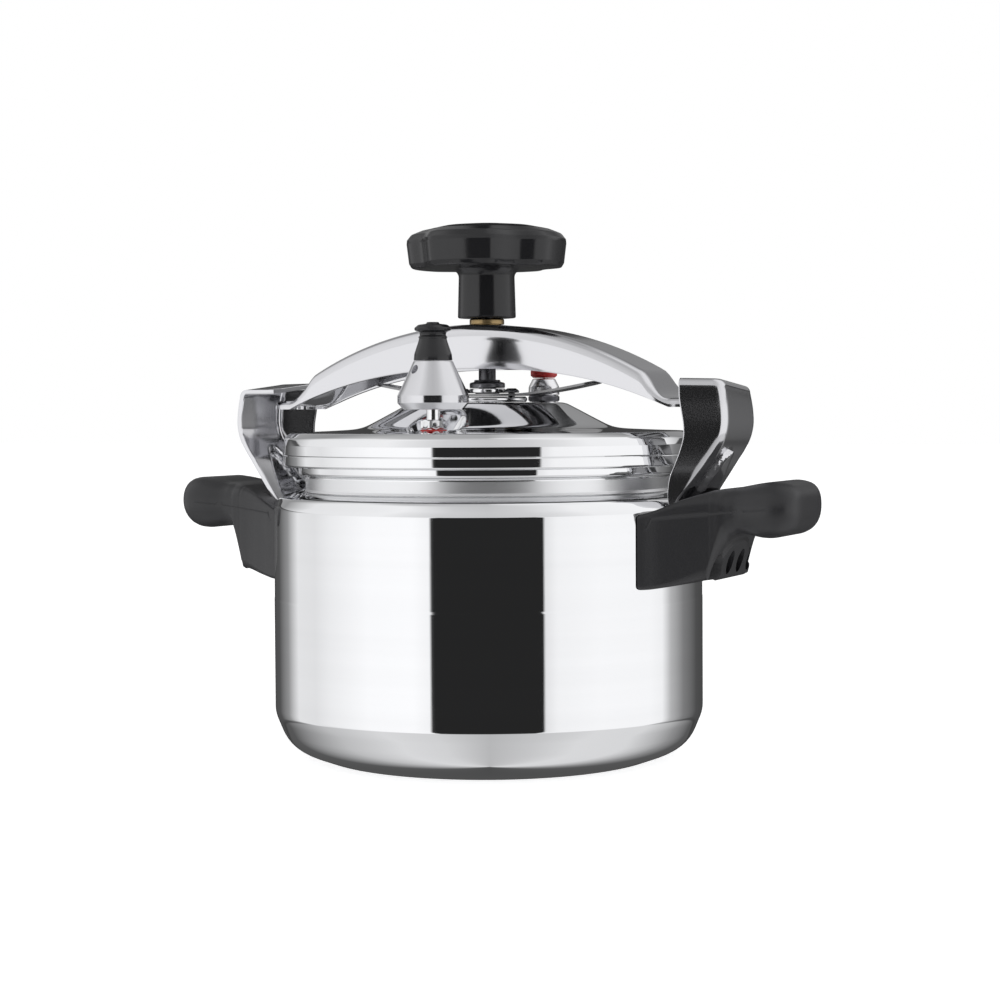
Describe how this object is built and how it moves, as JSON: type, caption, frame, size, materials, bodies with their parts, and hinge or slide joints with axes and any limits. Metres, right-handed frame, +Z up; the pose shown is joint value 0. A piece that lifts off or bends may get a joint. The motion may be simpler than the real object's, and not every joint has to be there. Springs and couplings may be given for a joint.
{
  "type": "stovetop pressure cooker",
  "caption": "Polished aluminium stovetop pressure cooker with a screw-down arched yoke, weighted vent, safety valve and black moulded handles.",
  "frame": {"origin": "centre of the base's underside, on the surface that the cooker stands on", "axes": "+X towards the right handle, +Y away from the vent side, +Z up"},
  "size_m": [0.3444, 0.22, 0.2727],
  "materials": {
    "polished_aluminium": "mirror polished",
    "polished_steel": "mirror polished",
    "dark_steel": "blackened",
    "brass": "turned",
    "black_bakelite": "satin moulded",
    "red_silicone": "satin",
    "grey_rubber": "matt"
  },
  "bodies": {
    "pot": {"pot_shell": "polished_aluminium", "ear_left": "polished_steel", "ear_right": "polished_steel", "ear_rivet_left_front": "polished_steel", "ear_rivet_left_rear": "polished_steel", "ear_rivet_right_front": "polished_steel", "ear_rivet_right_rear": "polished_steel", "handle_left": "black_bakelite", "handle_right": "black_bakelite", "handle_screw_left": "polished_steel", "handle_screw_right": "polished_steel", "handle_insert_left": "brass", "handle_insert_right": "brass"},
    "seal": {"gasket": "grey_rubber"},
    "cover": {"lid_shell": "polished_aluminium", "bearing_plate": "polished_steel", "hub_washer": "polished_steel", "hub_nut": "polished_steel", "screw_socket": "polished_steel", "screw_retainer": "dark_steel", "retainer_screw_left": "dark_steel", "retainer_screw_right": "dark_steel", "leaf_spring": "polished_steel", "vent_pipe": "polished_steel", "vent_seal": "red_silicone", "vent_nut": "polished_steel", "vent_inner_nut": "polished_steel", "relief_body": "polished_steel", "relief_nut": "dark_steel", "relief_seal": "red_silicone", "relief_inner_nut": "polished_steel", "relief_spring": "polished_steel"},
    "clamp_screw": {"screw_spindle": "polished_steel", "knob_insert": "brass", "knob": "black_bakelite"},
    "yoke_arm": {"yoke": "polished_steel", "yoke_bush": "brass", "bush_clip": "dark_steel"},
    "working_weight": {"weight_body": "polished_steel", "weight_cap": "black_bakelite", "weight_needle": "polished_steel"},
    "relief_valve": {"relief_stem": "polished_steel", "relief_button": "red_silicone"}
  },
  "joints": [
    {"name": "cover_lift", "type": "slide", "parent": "pot", "child": "seal", "axis": [0, 0, 1], "range_m": [0, 0.12]},
    {"name": "cover_turn", "type": "hinge", "parent": "seal", "child": "cover", "pos_m": [0, 0, 0.16], "axis": [0, 0, 1], "range_deg": [0, 90]},
    {"name": "knob_turn", "type": "hinge", "parent": "cover", "child": "clamp_screw", "pos_m": [0, 0, 0.19], "axis": [0, 0, 1], "range_deg": [-396, 180]},
    {"name": "yoke_travel", "type": "slide", "parent": "cover", "child": "yoke_arm", "axis": [0, 0, 1], "range_m": [-0.00151, 0.00331], "deforming": ["leaf_spring"]},
    {"name": "weight_lift", "type": "slide", "parent": "cover", "child": "working_weight", "axis": [0, 0, 1], "range_m": [0, 0.025]},
    {"name": "relief_lift", "type": "slide", "parent": "cover", "child": "relief_valve", "axis": [0, 0, 1], "range_m": [0, 0.003], "stiffness_N_per_m": 1500, "deforming": ["relief_spring"]}
  ],
  "couplings": [
    {"joint": "yoke_travel", "follows": "knob_turn", "m_per_rad": -0.00047746}
  ]
}
